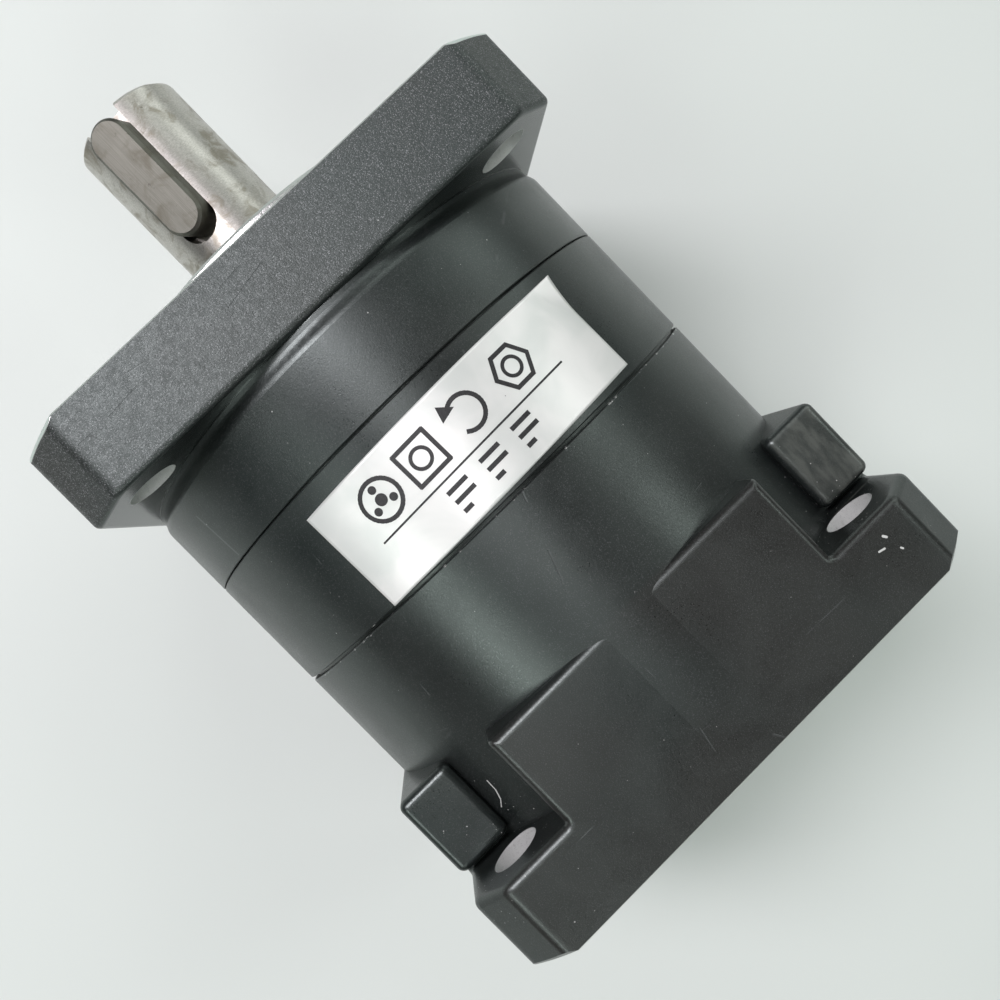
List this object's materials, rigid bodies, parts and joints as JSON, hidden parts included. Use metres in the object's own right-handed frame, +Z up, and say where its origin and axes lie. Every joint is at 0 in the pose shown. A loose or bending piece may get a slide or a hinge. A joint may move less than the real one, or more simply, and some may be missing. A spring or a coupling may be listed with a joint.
{
  "type": "planetary gearbox",
  "caption": "Inline planetary gearbox: square mounting flanges on a round body, keyed output shaft, split clamp hub for the motor shaft.",
  "frame": {"origin": "on the gear axis, in the plane of the output mounting face", "axes": "+X along the gear axis and out of the output shaft; +Z up with the gearbox lying on one flat side; +Y to the left when looking along +X"},
  "size_m": [0.0966, 0.06, 0.06],
  "materials": {
    "black_housing": "satin black coating on cast aluminium, machined faces bare",
    "label_sticker": "brushed silver film",
    "black_screw": "black oxide",
    "plug_rubber": "matt",
    "seal_rubber": "matt",
    "bearing_steel": "ground",
    "ball_steel": "polished",
    "cage_steel": "pressed",
    "shaft_steel": "ground",
    "key_steel": "drawn",
    "carrier_steel": "turned",
    "spring_steel": "black oxide",
    "pin_steel": "ground",
    "gear_steel": "hobbed",
    "washer_bronze": "plain",
    "bushing_bronze": "plain",
    "hub_steel": "turned",
    "collar_steel": "dark turned"
  },
  "bodies": {
    "housing": {"output_housing": "black_housing", "ring_gear_housing": "black_housing", "input_housing": "black_housing", "label_plate": "label_sticker", "housing_screws": "black_screw", "access_plug": "plug_rubber", "output_seal": "seal_rubber", "output_bearing_outer_race": "bearing_steel", "carrier_bearing_outer_race": "bearing_steel", "input_bearing_outer_race": "bearing_steel", "bearing_snap_ring": "spring_steel"},
    "output_carrier": {"output_shaft": "shaft_steel", "shaft_key": "key_steel", "carrier_end_plate": "carrier_steel", "carrier_screws": "black_screw", "planet_pins": "pin_steel", "thrust_washers": "washer_bronze", "output_bearing_inner_race": "bearing_steel", "carrier_bearing_inner_race": "bearing_steel", "bearing_spacer": "bearing_steel", "shaft_snap_ring": "spring_steel"},
    "input_hub": {"sun_hub": "hub_steel", "clamp_collar": "collar_steel", "clamp_screw": "black_screw", "hub_snap_ring": "spring_steel", "input_bearing_inner_race": "bearing_steel"},
    "output_bearing_cage_set": {"output_bearing_balls": "ball_steel", "output_bearing_cage": "cage_steel"},
    "carrier_bearing_cage_set": {"carrier_bearing_balls": "ball_steel", "carrier_bearing_cage": "cage_steel"},
    "input_bearing_cage_set": {"input_bearing_balls": "ball_steel", "input_bearing_cage": "cage_steel"},
    "planet_1": {"planet_gear_1": "gear_steel", "planet_bushing_1": "bushing_bronze"},
    "planet_2": {"planet_gear_2": "gear_steel", "planet_bushing_2": "bushing_bronze"},
    "planet_3": {"planet_gear_3": "gear_steel", "planet_bushing_3": "bushing_bronze"}
  },
  "joints": [
    {"name": "output_spin", "type": "hinge", "parent": "housing", "child": "output_carrier", "pos_m": [0, 0, 0], "axis": [1, 0, 0], "continuous": true},
    {"name": "input_spin", "type": "hinge", "parent": "housing", "child": "input_hub", "pos_m": [-0.05, 0, 0], "axis": [1, 0, 0], "continuous": true},
    {"name": "planet_1_spin", "type": "hinge", "parent": "output_carrier", "child": "planet_1", "pos_m": [-0.02815, 0.00462, 0.01269], "axis": [1, 0, 0], "continuous": true},
    {"name": "planet_2_spin", "type": "hinge", "parent": "output_carrier", "child": "planet_2", "pos_m": [-0.02815, -0.01329, -0.00234], "axis": [1, 0, 0], "continuous": true},
    {"name": "planet_3_spin", "type": "hinge", "parent": "output_carrier", "child": "planet_3", "pos_m": [-0.02815, 0.00868, -0.01034], "axis": [1, 0, 0], "continuous": true},
    {"name": "output_bearing_cage_spin", "type": "hinge", "parent": "housing", "child": "output_bearing_cage_set", "pos_m": [-0.0077, 0, 0], "axis": [1, 0, 0], "continuous": true},
    {"name": "carrier_bearing_cage_spin", "type": "hinge", "parent": "housing", "child": "carrier_bearing_cage_set", "pos_m": [-0.0159, 0, 0], "axis": [1, 0, 0], "continuous": true},
    {"name": "input_bearing_cage_spin", "type": "hinge", "parent": "housing", "child": "input_bearing_cage_set", "pos_m": [-0.041, 0, 0], "axis": [1, 0, 0], "continuous": true}
  ],
  "couplings": [
    {"joint": "input_spin", "follows": "output_spin", "ratio": 5},
    {"joint": "planet_1_spin", "follows": "output_spin", "ratio": -2.6667},
    {"joint": "planet_2_spin", "follows": "output_spin", "ratio": -2.6667},
    {"joint": "planet_3_spin", "follows": "output_spin", "ratio": -2.6667},
    {"joint": "output_bearing_cage_spin", "follows": "output_spin", "ratio": 0.4093},
    {"joint": "carrier_bearing_cage_spin", "follows": "output_spin", "ratio": 0.43077},
    {"joint": "input_bearing_cage_spin", "follows": "output_spin", "ratio": 2.1538}
  ]
}
